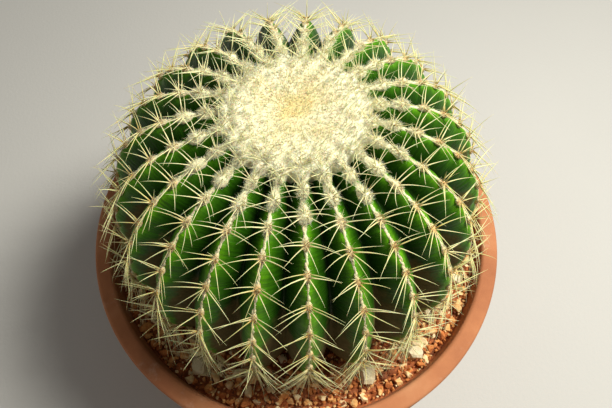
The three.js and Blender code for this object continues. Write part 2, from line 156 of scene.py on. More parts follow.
# %% A finish and its nodes
class Finish:
    def __init__(self, name, roughness):
        self.material = bpy.data.materials.new(name)
        self.material.use_nodes = True
        self.tree = self.material.node_tree
        self.shader = self.tree.nodes["Principled BSDF"]
        self.place = self.node("TexCoord").outputs["Object"]
        self.wear("Roughness", roughness)

    def feed(self, socket, value):
        if isinstance(value, bpy.types.NodeSocket):
            self.tree.links.new(value, socket)
        else:
            socket.default_value = value

    def wear(self, socket, value):
        self.feed(self.shader.inputs[socket], value)

    def let_light_in(self, depth, share=0.15):
        self.wear("Subsurface Weight", share)
        self.wear("Subsurface Scale", depth)

    def node(self, kind, inputs=None, **settings):
        made = self.tree.nodes.new("ShaderNode" + kind)
        for name, value in settings.items():
            setattr(made, name, value)
        for socket, value in (inputs or {}).items():
            self.feed(made.inputs[socket], value)
        return made

    def attribute(self, name):
        return self.node("Attribute", attribute_name=name).outputs["Fac"]

    def stretch(self, scale, place=None):
        mapping = self.node("Mapping", {"Vector": place or self.place, "Scale": scale})
        return mapping.outputs["Vector"]

    def noise(self, scale, detail=3, roughness=0.55, place=None):
        inputs = {"Scale": scale, "Detail": detail, "Roughness": roughness}
        made = self.node("TexNoise", {"Vector": place or self.place, **inputs})
        return made.outputs["Fac"]

    def join(self, kind, a, b):
        return self.node("Math", {0: a, 1: b}, operation=kind).outputs[0]

    def between(self, value, low, high, to_low=0, to_high=1):
        ends = {"From Min": low, "From Max": high, "To Min": to_low, "To Max": to_high}
        made = self.node("MapRange", {"Value": value, **ends}, interpolation_type="SMOOTHSTEP")
        return made.outputs["Result"]

    def ramp(self, value, stops):
        made = self.node("ValToRGB", {"Fac": value})
        elements = made.color_ramp.elements
        while len(elements) < len(stops):
            elements.new(1)
        for element, (at, colour) in zip(elements, stops):
            element.position = at
            element.color = (*colour, 1)
        return made.outputs["Color"]

    def blend(self, share, a, b, kind="MIX"):
        a, b = (c if isinstance(c, bpy.types.NodeSocket) else (*c, 1) for c in (a, b))
        inputs = {"Factor": share, 6: a, 7: b}  # 6 and 7 are the node's two colour sockets
        return self.node("Mix", inputs, data_type="RGBA", blend_type=kind).outputs[2]

    def bump(self, height, depth, strength=1, under=None):
        inputs = {"Height": height, "Distance": depth, "Strength": strength}
        if under:
            inputs["Normal"] = under
        return self.node("Bump", inputs).outputs["Normal"]


# %% [markdown]
# ## Helpers for meshes
#
# Spines, hairs and stones come in thousands. One of each is shaped with bmesh operators,
# and then repeated. Doing that copy by copy is slow, so `repeat` lays the corners of all
# copies out in one go, and each copy remembers a number of its own, its tone.


# %% Make a mesh, and a piece of it
def mesh_of(shape, name):
    mesh = bpy.data.meshes.new(name)
    shape.to_mesh(mesh)
    shape.free()
    return mesh


def simple_mesh(name, create, **sizes):
    """The mesh of one of bmesh's own shapes."""
    shape = bmesh.new()
    create(shape, **sizes)
    return mesh_of(shape, name)


def make_piece(mesh, finish, slot, *nodes, smooth=True):
    """A piece is named after its mesh, and stands for the CAD nodes that are named."""
    mesh.materials.clear()
    mesh.materials.append(finish.material)
    mesh.polygons.foreach_set("use_smooth", [smooth] * len(mesh.polygons))
    piece = put_in_scene(mesh.name, mesh)
    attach(piece, "root")
    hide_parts(*nodes)


def cut_across(shape, **plane):
    whole = shape.verts[:] + shape.edges[:] + shape.faces[:]
    return bmesh.ops.bisect_plane(shape, geom=whole, **plane)


def cut_level(shape, height):
    cut_across(shape, plane_co=(0, 0, height), plane_no=(0, 0, 1))


# %% Read and move the corners of a mesh
def corners_of(mesh):
    corners = np.empty(len(mesh.vertices) * 3)
    mesh.vertices.foreach_get("co", corners)
    return corners.reshape(-1, 3)


def move_corners(mesh, corners):
    mesh.vertices.foreach_set("co", np.asarray(corners, dtype=np.float32).ravel())
    mesh.update()


def whole_numbers(items, name):
    """One whole number of every item of a mesh, such as a face's count of corners."""
    numbers = np.empty(len(items), dtype=np.int32)
    items.foreach_get(name, numbers)
    return numbers


def give_attribute(mesh, name, values):
    layer = mesh.attributes.new(name, "FLOAT", "POINT")
    layer.data.foreach_set("value", np.asarray(values, dtype=np.float32).ravel())


# %% Repeat one shape many times
def repeat(name, template, places, **own_numbers):
    """places holds, for each copy, the final place of each corner of the template."""
    copies, per_copy = places.shape[:2]
    face_corners = whole_numbers(template.loops, "vertex_index")
    shift = np.repeat(np.arange(copies, dtype=np.int32) * per_copy, len(face_corners))
    sizes = np.tile(whole_numbers(template.polygons, "loop_total"), copies)

    mesh = bpy.data.meshes.new(name)
    mesh.vertices.add(copies * per_copy)
    mesh.loops.add(copies * len(face_corners))
    mesh.polygons.add(len(sizes))
    mesh.loops.foreach_set("vertex_index", np.tile(face_corners, copies) + shift)
    starts = np.concatenate([[0], np.cumsum(sizes)[:-1]]).astype(np.int32)
    mesh.polygons.foreach_set("loop_start", starts)
    move_corners(mesh, places.reshape(-1, 3))
    mesh.update(calc_edges=True)
    for number_name, values in own_numbers.items():
        values = np.asarray(values)
        each = values if values.ndim == 2 else values[..., None]
        give_attribute(mesh, number_name, np.broadcast_to(each, (copies, per_copy)))
    return mesh


def join_meshes(name, meshes):
    joined = bmesh.new()
    for mesh in meshes:
        joined.from_mesh(mesh)
        bpy.data.meshes.remove(mesh)
    return mesh_of(joined, name)


# %% [markdown]
# ## The plan of the plant
#
# The numbers of the CAD part are repeated here, in metres: 23 ribs, and a crest that runs
# over the shoulder of the body. Everything that grows on a rib asks these functions where
# the rib is, so that wool and spines sit on the skin and not in the air. The folds are a
# little deeper here than in the CAD part, and the lower half a little fuller, because a
# fine mesh can follow the real plant more closely.

# %% Sizes of the body
RIBS = 23
FIRST_RIB = math.radians(3.6)
RIB_PITCH = FULL_TURN / RIBS
BODY_RADIUS = 160 * MM
BODY_HALF_HEIGHT = 120 * MM
WIDEST_LEVEL = 236 * MM
SHOULDER_POWER = 0.62
LOWER_POWER = 0.53
RIB_DEPTH = 24 * MM
TOP_FADE = 0.5
BASE_FADE = 2
GRAVEL_TOP = 150 * MM
POLE_COSINE = 1e-4


# %% Where a crest runs
def crest_at(level):
    """At a level, in radians from the widest one up: radius, height, outward normal, way down."""
    c = np.maximum(np.cos(level), POLE_COSINE)
    s = np.sin(level)
    power = np.where(s > 0, SHOULDER_POWER, LOWER_POWER)
    radius = BODY_RADIUS * c**power
    height = WIDEST_LEVEL + BODY_HALF_HEIGHT * s
    slope_r = BODY_RADIUS * power * c ** (power - 1) * s
    slope_z = -BODY_HALF_HEIGHT * c
    steepness = np.hypot(slope_r, slope_z)
    down = np.stack([slope_r / steepness, slope_z / steepness], -1)
    normal = np.stack([-down[..., 1], down[..., 0]], -1)
    return radius, height, normal, down


def rib_depth_at(level):
    c = np.maximum(np.cos(level), 0)
    return RIB_DEPTH * c ** np.where(level > 0, TOP_FADE, BASE_FADE)


def across_rib(longitude):
    """The nearest rib, counted on from the first one, and 0 on its crest to 1 in the groove."""
    from_rib = (longitude - FIRST_RIB) / RIB_PITCH
    nearest = np.round(from_rib)
    return nearest, np.abs(from_rib - nearest) * 2


# %% Measure along a crest
FIRST_AREOLE = math.radians(70)
STONE_HEIGHT = 4.5 * MM

crest_levels = np.radians(np.linspace(start=84, stop=-60, num=1441))
crest_r, crest_z, _, _ = crest_at(crest_levels)
crest_along = np.concatenate([[0], np.cumsum(np.hypot(np.diff(crest_r), np.diff(crest_z)))])
crest_along -= np.interp(-FIRST_AREOLE, -crest_levels, crest_along)
crest_end = crest_along[np.argmax(crest_z < GRAVEL_TOP + STONE_HEIGHT)]


def level_along(distance):
    return np.interp(distance, crest_along, crest_levels)


def distance_to(level):
    return np.interp(-level, -crest_levels, crest_along)


# %% Places of the areoles
AREOLE_STEP = 19 * MM
AREOLE_STEP_GROWTH = 1.5 * MM
AREOLE_STAGGER = 11 / RIBS
AREOLE_BASE_MARGIN = 14 * MM
YOUNG_AREOLES = 2
MOST_AREOLES = 30


def areoles_of(rib, with_young=True):
    """Distances along the crest, with or without the two young areoles at the crown's edge."""
    first = -YOUNG_AREOLES if with_young else 0
    steps = np.arange(first, MOST_AREOLES) + (rib * AREOLE_STAGGER) % 1
    places = AREOLE_STEP * steps + AREOLE_STEP_GROWTH * steps**2 / 2
    return places[places <= crest_end - AREOLE_BASE_MARGIN]


old_areoles = [areoles_of(rib, with_young=False) for rib in range(RIBS)]
print("Crest", millimetres(crest_end), "mm long,", sum(map(len, old_areoles)), "areoles")


# %% A rib's own axes
def polar(longitude, radius, height):
    longitude, radius, height = np.broadcast_arrays(longitude, radius, height)
    return np.stack([radius * np.sin(longitude), -radius * np.cos(longitude), height], -1)


def rib_longitude(rib):
    return FIRST_RIB + rib * RIB_PITCH


def crest_frame(longitude, along):
    """Origin, right, down the rib and outwards, at distances along a crest."""
    radius, height, normal, down = crest_at(level_along(np.asarray(along)))
    right = polar(longitude + QUARTER_TURN, np.ones_like(radius), 0)
    way_down = polar(longitude, down[..., 0], down[..., 1])
    out = polar(longitude, normal[..., 0], normal[..., 1])
    return polar(longitude, radius, height), right, way_down, out


def along_axes(axes, local):
    return sum(axis * local[..., i:i + 1] for i, axis in enumerate(axes))


def lay_on_crest(longitude, along, local):
    """Spots given as right, down and out, a row of them for each distance along a crest."""
    seat, *axes = (axis[:, None] for axis in crest_frame(longitude, along))
    return seat + along_axes(axes, local)


# %% [markdown]
# ## The green body
#
# A real barrel cactus is a pleated barrel: the ribs are folds that open when it drinks. A
# rib could be swept along the crest and copied round. Here a globe with many fine strips is
# pushed into shape instead, corner by corner, which leaves no seam between two ribs: each
# corner goes to its level on the crest, and then inwards by how far down the fold it lies.
# The crest swells a little between two areoles and dips where one sits, as on the real
# plant. The mesh also notes how deep in a groove and how old each spot is, for the finish.

# %% A globe with strips along the ribs
BODY_STRIPS_PER_RIB = 24
BODY_RINGS = 150
FLANK_CURVE = 1.45
CREST_HALF_WIDTH = 1.2 * MM
CREST_SHARE_LIMIT = 0.6
NARROWEST_HALF_RIB = 6 * MM


def smoothstep(x, low, high):
    t = np.clip((x - low) / (high - low), 0, 1)
    return t * t * (3 - 2 * t)


def bell(x):
    """1 where x is 0, and almost nothing beyond 2."""
    return np.exp(-(x**2))


body_mesh = simple_mesh(
    "green_body", bmesh.ops.create_uvsphere,
    u_segments=RIBS * BODY_STRIPS_PER_RIB, v_segments=BODY_RINGS, radius=1,
)
on_globe = corners_of(body_mesh)
longitude = np.arctan2(on_globe[:, 0], -on_globe[:, 1])
level = np.arcsin(np.clip(on_globe[:, 2], -1, 1))

rib_number, across = across_rib(longitude)
rib_number = rib_number.astype(int) % RIBS
radius, height, normal, _ = crest_at(level)
crest_share = CREST_HALF_WIDTH / np.maximum(radius * RIB_PITCH / 2, NARROWEST_HALF_RIB)
crest_share = np.minimum(crest_share, CREST_SHARE_LIMIT)
groove = np.clip((across - crest_share) / (1 - crest_share), 0, 1) ** FLANK_CURVE
print("Globe", len(on_globe), "corners")

# %% Dimples and swellings along the crest
DIMPLE_DEPTH = 1.6 * MM
DIMPLE_REACH = 5 * MM
CREST_SWELL = 0.8 * MM

along = distance_to(level)
dimple = np.zeros_like(along)
for rib, places in enumerate(old_areoles):
    mine = rib_number == rib
    nearest = np.min(np.abs(along[mine][:, None] - places[None, :]), axis=1)
    hollow = DIMPLE_DEPTH * bell(nearest / DIMPLE_REACH)
    swell = CREST_SWELL * smoothstep(nearest, DIMPLE_REACH, 2 * DIMPLE_REACH)
    dimple[mine] = (swell - hollow) * (1 - groove[mine]) ** 2
print("Crest from", millimetres(dimple.min(), dimple.max()), "mm")

# %% Move the corners
CROWN_SINK = 22 * MM
SINK_LEVELS = np.radians([79, 85])
UNDERSIDE_INSET = 2 * MM
UNDERSIDE_FADE = 10 * MM
ROOT_LEVELS = np.radians([-90, -84, -76, -68])
ROOT_RADII = np.array([0, 26, 33, 85]) * MM
ROOT_HEIGHTS = np.array([96, 96.5, 114, 124.7]) * MM

inwards = rib_depth_at(level) * groove - dimple
radius = radius - normal[:, 0] * inwards
height = height - normal[:, 1] * inwards
height -= CROWN_SINK * smoothstep(level, *SINK_LEVELS)
radius -= UNDERSIDE_INSET * smoothstep(-height, -GRAVEL_TOP, UNDERSIDE_FADE - GRAVEL_TOP)
under = level < ROOT_LEVELS[-1]
radius[under] = np.interp(level[under], ROOT_LEVELS, ROOT_RADII)
height[under] = np.interp(level[under], ROOT_LEVELS, ROOT_HEIGHTS)
move_corners(body_mesh, polar(longitude, radius, height))

# %% What the skin's finish needs to know
give_attribute(body_mesh, "groove", np.clip(groove, 0, 1))
give_attribute(body_mesh, "age", np.clip(along / crest_end, 0, 1))
skin_map = body_mesh.uv_layers.new(name="around_and_along")
skin_places = np.stack([longitude * BODY_RADIUS, along], -1)
skin_places = skin_places[whole_numbers(body_mesh.loops, "vertex_index")]
skin_map.data.foreach_set("uv", skin_places.astype(np.float32).ravel())
print("Body", len(body_mesh.polygons), "faces")

# %% [markdown]
# ## Skin
#
# The skin is waxy green, with a painted highlight on the crests and painted shade that turns
# it nearly black in the folds. Old skin low on the plant turns dark grey-brown, first on the
# flanks. Fine lines cross each fold. This could be painted by hand. The groove and age
# numbers of the mesh steer all of it instead, so no texture is needed and every rib gets its
# own blotches.

# %% Green, with a painted highlight on the crests and painted shade into the fold
skin = Finish("waxy_green_skin", roughness=0.42)
depth_in_fold = skin.attribute("groove")
skin_age = skin.attribute("age")
blotches = skin.noise(45, detail=4)
uneven_depth = skin.join("ADD", depth_in_fold, skin.between(blotches, 0, 1, -0.12, 0.12))
# Painted light: the ramp paints a highlight on the crest, and paints shade that darkens the flank
# to nearly black at the bottom of the fold.
green_and_painted_light = skin.ramp(uneven_depth, [
    (0.0, (0.090, 0.275, 0.006)), (0.08, (0.056, 0.184, 0.004)),
    (0.19, (0.027, 0.105, 0.002)), (0.45, (0.012, 0.055, 0.001)),
    (1.0, (0.005, 0.022, 0.001)),
])
around_and_along = skin.node("UVMap", uv_map="around_and_along").outputs["UV"]
fold_lines = skin.noise(1, place=skin.stretch((45, 420, 1), around_and_along))
lined_share = skin.between(fold_lines, 0.38, 0.68, 0, 0.75)
lined_green = skin.blend(lined_share, green_and_painted_light, (0.75, 0.80, 0.30), "SOFT_LIGHT")
worn_crest = skin.join(
    "MULTIPLY", skin.between(depth_in_fold, 0, 0.04, 0.7, 0), skin.between(skin_age, 0.25, 0.6)
)
worn_green = skin.blend(worn_crest, lined_green, (0.36, 0.44, 0.10))

# %% Dark grey-brown on the old flanks, and the surface
# Low on the plant the flanks turn dark grey-brown, most of all deep in the folds.
brown_depth = skin.join("POWER", depth_in_fold, 0.45)
brown_reach = skin.join("MULTIPLY", skin.between(skin_age, 0.18, 0.57), brown_depth)
brown_edge = skin.between(skin.noise(60, detail=6, roughness=0.7), 0.2, 0.8, -0.2, 0.2)
brown_reach = skin.join("ADD", brown_reach, brown_edge)
brown_cloud = skin.between(skin.noise(9, detail=1), 0.35, 0.65, -0.16, 0.26)
brown_reach = skin.join("ADD", brown_reach, skin.join("MULTIPLY", brown_cloud, brown_depth))
is_brown = skin.between(brown_reach, 0.32, 0.62)
grey_brown = skin.blend(skin.noise(300), (0.055, 0.042, 0.009), (0.17, 0.125, 0.044))
skin.wear("Base Color", skin.blend(is_brown, worn_green, grey_brown))
skin.wear("Roughness", skin.between(is_brown, 0, 1, 0.46, 0.85))
skin_grain = skin.bump(skin.noise(700), depth=0.15 * MM, strength=0.5)
skin.wear("Normal", skin.bump(fold_lines, depth=1 * MM, strength=0.7, under=skin_grain))
skin.wear("Specular IOR Level", 0.18)

make_piece(body_mesh, skin, "cactus_skin", "cactus_body")
print("Skin has", len(skin.tree.nodes), "nodes")

# %% [markdown]
# ## Spines
#
# A spine of this plant is a stiff awl: round, thick at its foot, and curved a little down.
# Each areole bears long central ones to both sides, a thinner pair just above them, two
# that slant down, and a fan of shorter ones. Low on the plant a skirt of fine ones hangs
# below. Curves with a bevel would do for a few. For thousands, one straight awl is turned
# from a cone, cut across in a few places so that it can bend, and each copy is then bent
# along its own curve. Its number "reach" runs from foot to tip.


# %% One awl
def make_awl(name, sides, cuts, tip):
    """One unit long and with a foot of radius one, standing on the ground."""
    awl = bmesh.new()
    bmesh.ops.create_cone(
        awl, cap_ends=True, segments=sides, radius1=1, radius2=tip, depth=1
    )
    bmesh.ops.remove_doubles(awl, verts=awl.verts, dist=0.001)
    bmesh.ops.translate(awl, vec=(0, 0, 0.5), verts=awl.verts)
    for height in cuts:
        cut_level(awl, height)
    return mesh_of(awl, name)


awl_mesh = make_awl("awl", sides=6, cuts=(0.16, 0.38, 0.62, 0.84), tip=0.10)
print("One spine has", len(awl_mesh.polygons), "faces")


# %% Bend copies of a straight shape along their own curves
NEARLY_UPRIGHT = 0.9


def unit(vectors):
    return vectors / np.linalg.norm(vectors, axis=-1, keepdims=True)


def bend_copies(template, roots, ways, lengths, widths, bends):
    """A copy starts at its root, leaves it along its way, and is carried off by its bend."""
    x, y, t = corners_of(template).T
    widths = np.broadcast_to(widths, len(roots))
    upright = np.abs(ways[:, 2:]) >= NEARLY_UPRIGHT
    side = unit(np.cross(ways, np.where(upright, [[1.0, 0, 0]], [[0, 0, 1.0]])))
    other = np.cross(ways, side)
    middle = roots[:, None] + ways[:, None] * (lengths[:, None] * t)[..., None]
    middle = middle + bends[:, None] * (t**2)[None, :, None]
    around = side[:, None] * x[None, :, None] - other[:, None] * y[None, :, None]
    return middle + around * widths[:, None, None], np.tile(t, (len(roots), 1))


# %% Kinds of spines, in degrees from outwards and in millimetres
Kind = namedtuple("Kind", "lean length half_width higher")
CENTRAL = Kind((52, 68), (28, 37), 0.58, 0)
PAIRED = Kind((52, 68), (22, 32), 0.42, 2.4)
SLANTING = Kind((50, 66), (21, 30), 0.50, 0)
OUTWARD = Kind((12, 34), (20, 28), 0.50, 0)
RADIAL = Kind((58, 76), (19, 28), 0.40, -0.8)
SHORT = Kind((40, 62), (8, 14), 0.30, 1.6)
SKIRT = Kind((38, 74), (18, 33), 0.32, 0)
YOUNG = Kind((26, 62), (19, 31), 0.40, 0)
WIDTH_SPREAD = (0.85, 1.1)


def spine_fan(random, kind, turns, loose=6):
    """Turn (from straight up the rib), lean, length, half width and height of the roots."""
    count = len(turns)
    turns = np.radians(np.array(turns) + random.normal(0, loose, count))
    leans = np.radians(random.uniform(*kind.lean, count))
    lengths = random.uniform(*kind.length, count) * MM
    widths = random.uniform(*WIDTH_SPREAD, count) * (kind.half_width * MM)
    return np.stack([turns, leans, lengths, widths, np.full(count, kind.higher * MM)])


# %% The spines of one areole
FAN_TILT = 7
OUTWARD_CHANCE = 0.6
SHORTEST_SHARE = 0.76
FAN_START = 0.58
SKIRT_START = 0.69


def spines_of_areole(random, share_down):
    """Low on the plant the areoles crowd together, and their spines hang like a skirt."""
    if share_down < 0:
        return spine_fan(random, YOUNG, [8, 62, 92, 128, 232, 268, 298, 345], loose=12)
    tilt = random.normal(0, FAN_TILT)
    low_chance = 0.3 + 0.55 * share_down
    low_turns = np.array([160, 182, 204])[random.random(3) < low_chance]
    fans = [
        spine_fan(random, CENTRAL, [91 + tilt, 269 + tilt], loose=3),
        spine_fan(random, PAIRED, [88 + tilt, 272 + tilt], loose=3),
        spine_fan(random, SLANTING, [130 + tilt, 230 + tilt]),
        spine_fan(random, RADIAL, low_turns),
        spine_fan(random, SHORT, [28, 332], loose=12),
    ]
    if random.random() < OUTWARD_CHANCE:
        fans.append(spine_fan(random, OUTWARD, [0], loose=20))
    if share_down > FAN_START:
        fans.append(spine_fan(random, RADIAL, [112, 146, 214, 248]))
    if share_down > SKIRT_START:
        fans.append(spine_fan(random, SKIRT, np.linspace(98, 262, 18), loose=9))
    fan = np.concatenate(fans, axis=1)
    fan[2] *= SHORTEST_SHARE + (1 - SHORTEST_SHARE) * min(share_down / FAN_START, 1)
    return fan


# %% Grow the spines of a rib
SPINE_SEED = 100
SPINE_SAG = 0.16
SPINE_SPREAD = 1.8 * MM
ROOT_LIFT = 1.5 * MM
SPINE_UNREST = 0.055
SPINE_FLOOR = GRAVEL_TOP + 1 * MM
SHORTEST_SPINE = 8 * MM
LOWEST_STANCE = distance_to(math.radians(-8))


def grow_rib_spines(rib):
    """Below the lowest stance the spines keep its directions, so none grows into the bed."""
    random = np.random.default_rng(SPINE_SEED + rib)
    longitude = rib_longitude(rib)
    parts = []
    for along in areoles_of(rib):
        turns, leans, lengths, widths, higher = spines_of_areole(random, along / crest_end)
        seat, right, down, out = crest_frame(longitude, along)
        _, _, down_held, out_held = crest_frame(longitude, min(along, LOWEST_STANCE))
        local = [-np.sin(turns) * np.sin(leans), -np.cos(turns) * np.sin(leans), np.cos(leans)]
        ways = unit(along_axes((right, down_held, out_held), np.stack(local, -1)))
        roots = seat + out * ROOT_LIFT + ways * SPINE_SPREAD - down * higher[:, None]
        curls = SPINE_SAG * (down - out / 2) + random.normal(0, SPINE_UNREST, ways.shape)
        drop = np.maximum(-(ways + curls)[:, 2], NEARLY_ZERO)
        room = np.maximum((roots[:, 2] - SPINE_FLOOR) / drop, SHORTEST_SPINE)
        lengths = np.minimum(lengths, room)
        ages = np.full(len(lengths), along / crest_end)
        parts.append((roots, ways, lengths, widths, lengths[:, None] * curls, ages))
    return [np.concatenate(part) for part in zip(*parts)]


spine_parts = [grow_rib_spines(rib) for rib in range(RIBS)]
print("Spines", sum(len(part[0]) for part in spine_parts))

# %% [markdown]
# ## Finish of the spines
#
# A spine is horn: tan at its foot, pale yellow along its length and a little darker at its
# tip. Young ones are the palest, and the oldest weather to straw. One colour ramp along the
# spine could do it. Its age and a tone of its own are mixed in, so no two look alike.

# %% Finish of the spines
horn = Finish("golden_spines", roughness=0.45)
spine_tone = horn.attribute("tone")
spine_age = horn.attribute("age")
spine_colour = horn.ramp(horn.attribute("reach"), [
    (0.0, (0.58, 0.34, 0.08)), (0.12, (0.63, 0.53, 0.17)), (0.40, (0.67, 0.65, 0.26)),
    (0.85, (0.69, 0.67, 0.32)), (1.0, (0.62, 0.53, 0.21)),
])
pale_share = horn.join(
    "MAXIMUM", horn.between(spine_tone, 0, 1, 0, 0.6), horn.between(spine_age, 0, 0.22, 0.8, 0)
)
paler = horn.blend(pale_share, spine_colour, (0.85, 0.83, 0.50))
weathered = horn.between(spine_age, 0.55, 0.9, 0, 0.5)
horn.wear("Base Color", horn.blend(weathered, paler, (0.66, 0.52, 0.28)))
spine_grain = horn.noise(1500, detail=2)
horn.wear("Roughness", horn.between(spine_grain, 0.2, 0.8, 0.35, 0.6))
horn.wear("Normal", horn.bump(spine_grain, depth=0.06 * MM))
horn.let_light_in(depth=1 * MM)

# %% Make the spines of each rib
TONE_SEED = 500

for rib, (*shapes, ages) in enumerate(spine_parts):
    places, reaches = bend_copies(awl_mesh, *shapes)
    tones = np.random.default_rng(TONE_SEED + rib).random(len(places))
    spines_mesh = repeat(
        f"rib_{rib + 1:02d}_awls", awl_mesh, places, reach=reaches, tone=tones, age=ages
    )
    make_piece(spines_mesh, horn, "spines", f"rib_{rib + 1:02d}_spines")
print("Spines of the last rib have", len(spines_mesh.polygons), "faces")

# %% [markdown]
# ## Wool of the areoles
#
# Each areole is a small cushion of felt, tan where the spines come out and white above,
# and a line of felt runs along the crest from one to the next. Near the crown it is young
# and fluffy, lower down worn short. Blender's own hair could make the fluff, but it is lost
# in the export. So a cushion is a globe pressed flat, and a young one's upper end is drawn
# out to a point; the felt is a row of small lumps, and the fluff is short awls that curl.

# %% One hair, one cushion and one lump
hair_mesh = make_awl("hair", sides=3, cuts=(0.5,), tip=0)
cushion_mesh, lump_mesh = (
    simple_mesh(name, bmesh.ops.create_icosphere, subdivisions=fineness, radius=1)
    for name, fineness in (("cushion", 2), ("lump", 1))
)
print("One hair has", len(hair_mesh.polygons), "faces, one cushion", len(cushion_mesh.polygons))

# %% How wool ages down the rib
YOUNG_REACH = 13 * MM
TAN_REACH = 20 * MM
TANNEST = 0.95
POINTED_REACH = 60 * MM
POINTED = [-0.4, 0.85, -0.3]


def fading(along, reach):
    """1 at the edge of the crown, and less and less down the rib."""
    return np.exp(-np.maximum(along, 0) / reach)


def youth_at(along):
    return fading(along, YOUNG_REACH)


def tan_at(along):
    """Young wool is white. It darkens as it ages."""
    return 1 - TANNEST * fading(along, TAN_REACH)


def drawn_out(lengthwise, along):
    """Width, length and height of a spot on a cushion: a young one's upper end is a point."""
    pointed = np.clip(-lengthwise, 0, 1) * fading(along, POINTED_REACH)
    return 1 + pointed[..., None] * POINTED


# %% The cushions of a rib
OLD_CUSHION = np.array([2.6, 4.2, 1.9]) * MM
YOUNG_CUSHION = np.array([4.5, 7.0, 3.7]) * MM
WOOL_SPREAD = (0.86, 1.14)


def cushion_sizes(random, places):
    """Half width, half length and height of each cushion."""
    youth = youth_at(places)[:, None]
    sizes = OLD_CUSHION * (1 - youth) + YOUNG_CUSHION * youth
    return sizes * random.uniform(*WOOL_SPREAD, sizes.shape)


def cushion_places(longitude, places, sizes):
    ball = corners_of(cushion_mesh)[None]
    drops = ball * drawn_out(ball[..., 1], places[:, None])
    return lay_on_crest(longitude, places, drops * sizes[:, None])


# %% The felt between the areoles, as a row of overlapping small lumps
FELT_STEP = 1.7 * MM
FELT_HALF_WIDTH = 0.95 * MM
FELT_YOUNG_WIDTH = 0.6 * MM
FELT_HEIGHT = 0.9 * MM
FELT_SWELL = 0.35
FELT_OVERLAP = 1.8
FELT_START = -28 * MM
FELT_WEAR = 0.8
FELT_SWAY = 0.4 * MM


def felt_half_width(along):
    """The felt wears off towards the foot of the rib."""
    worn = FELT_WEAR * smoothstep(along / crest_end, low=0.3, high=0.8)
    return (FELT_HALF_WIDTH + FELT_YOUNG_WIDTH * youth_at(along)) * (1 - worn)


def felt_places(random, longitude, places):
    steps = np.arange(FELT_START, places[-1], FELT_STEP)
    steps = steps + random.normal(0, FELT_SWAY * 1.5, len(steps))
    half_width = felt_half_width(steps) * random.uniform(*WOOL_SPREAD, len(steps))
    half_length = np.full(len(steps), FELT_OVERLAP * FELT_STEP)
    sizes = np.stack([half_width, half_length, FELT_HEIGHT + half_width * FELT_SWELL], -1)
    lumps = corners_of(lump_mesh)[None] * sizes[:, None]
    lumps[..., 0] += random.normal(0, FELT_SWAY, (len(steps), 1))
    return lay_on_crest(longitude, steps, lumps)


# %% Hairs on the cushions of a rib
HAIRS_PER_AREOLE = 130
HAIRS_PER_YOUNG_AREOLE = 520
HAIR_SEAT = 0.9
HAIR_UNREST = 0.3
YOUNG_HAIR_GAIN = 0.7


def cushion_hairs(random, places, sizes):
    """Distance along the crest, across it and above it, way and length of each hair."""
    per_cushion = (HAIRS_PER_AREOLE + HAIRS_PER_YOUNG_AREOLE * youth_at(places)).astype(int)
    owner = np.repeat(places, per_cushion)
    turn = random.uniform(0, FULL_TURN, len(owner))
    out_share = np.sqrt(random.random(len(owner)))
    top = np.sqrt(np.maximum(1 - out_share**2, 0))
    spot = np.stack([np.cos(turn) * out_share, np.sin(turn) * out_share, top], -1)
    half_sizes = np.repeat(sizes, per_cushion, axis=0) * drawn_out(spot[:, 1], owner)
    across, further, lift = (spot * half_sizes).T
    ways = spot * [1, 0.8, 0.8] + [0, 0, 0.25] + random.normal(0, HAIR_UNREST, spot.shape)
    lengths = random.uniform(0.8, 1.7, len(owner)) * (1 + YOUNG_HAIR_GAIN * youth_at(owner))
    return owner + further, across, lift * HAIR_SEAT, ways, lengths * MM


# %% Hairs along the felt
HAIRS_PER_STEP = 70
TRAIL_CROWDING = 1.3
TRAIL_SPREAD = 0.45
TRAIL_LIFT = 0.6 * MM
TRAIL_UNREST = 0.8


def trail_hairs(random, places):
    """The same five as for the hairs on the cushions."""
    reach = places[-1] - FELT_START
    count = int(reach / AREOLE_STEP * HAIRS_PER_STEP)
    starts = FELT_START + random.random(count) ** TRAIL_CROWDING * reach
    width = felt_half_width(starts)
    across = random.normal(0, TRAIL_SPREAD, count) * width
    sideways = random.normal(0, TRAIL_UNREST, count)
    downwards = random.normal(0.5, TRAIL_UNREST, count)
    ways = np.stack([sideways, downwards, random.uniform(0.3, 0.9, count)], -1)
    lengths = random.uniform(0.7, 1.3, count) * width
    return starts, across, np.full(count, TRAIL_LIFT), ways, lengths


# %% All hairs of a rib
HAIR_CURL = 0.35
HAIR_HALF_WIDTH = 0.15 * MM
TAN_SPOT = 5 * MM


def rib_hairs(random, longitude, places, sizes):
    """What bend_copies asks for, and how tan each hair is: most so near an areole."""
    kinds = cushion_hairs(random, places, sizes), trail_hairs(random, places)
    starts, across, lift, ways, lengths = (np.concatenate(part) for part in zip(*kinds))
    seat, *axes = crest_frame(longitude, starts)
    roots = seat + axes[0] * across[:, None] + axes[-1] * lift[:, None]
    bends = lengths[:, None] * HAIR_CURL * random.normal(0, 1, ways.shape)
    distance = np.min(np.abs(starts[:, None] - places[None]), axis=1)
    tan = bell(distance / TAN_SPOT) * random.uniform(0.4, 1.1, len(lengths))
    ways = unit(along_axes(axes, ways))
    return (roots, ways, lengths, HAIR_HALF_WIDTH, bends), tan * tan_at(starts)


# %% [markdown]
# ## Finish of the wool
#
# Wool is matt, and its edge catches light because its fibres stand out. Young wool is
# cream, and old wool goes tan round the spines. Two blends of two colours each, mixed by
# the mesh's own number "tan", are enough, with sheen for the fibres' edge.

# %% Finish of the wool
def woolly_finish(name, sheen):
    finish = Finish(name, roughness=0.95)
    finish.wear("Normal", finish.bump(finish.noise(1800, detail=4), depth=0.4 * MM))
    finish.wear("Sheen Weight", sheen)
    finish.let_light_in(depth=1.5 * MM)
    return finish


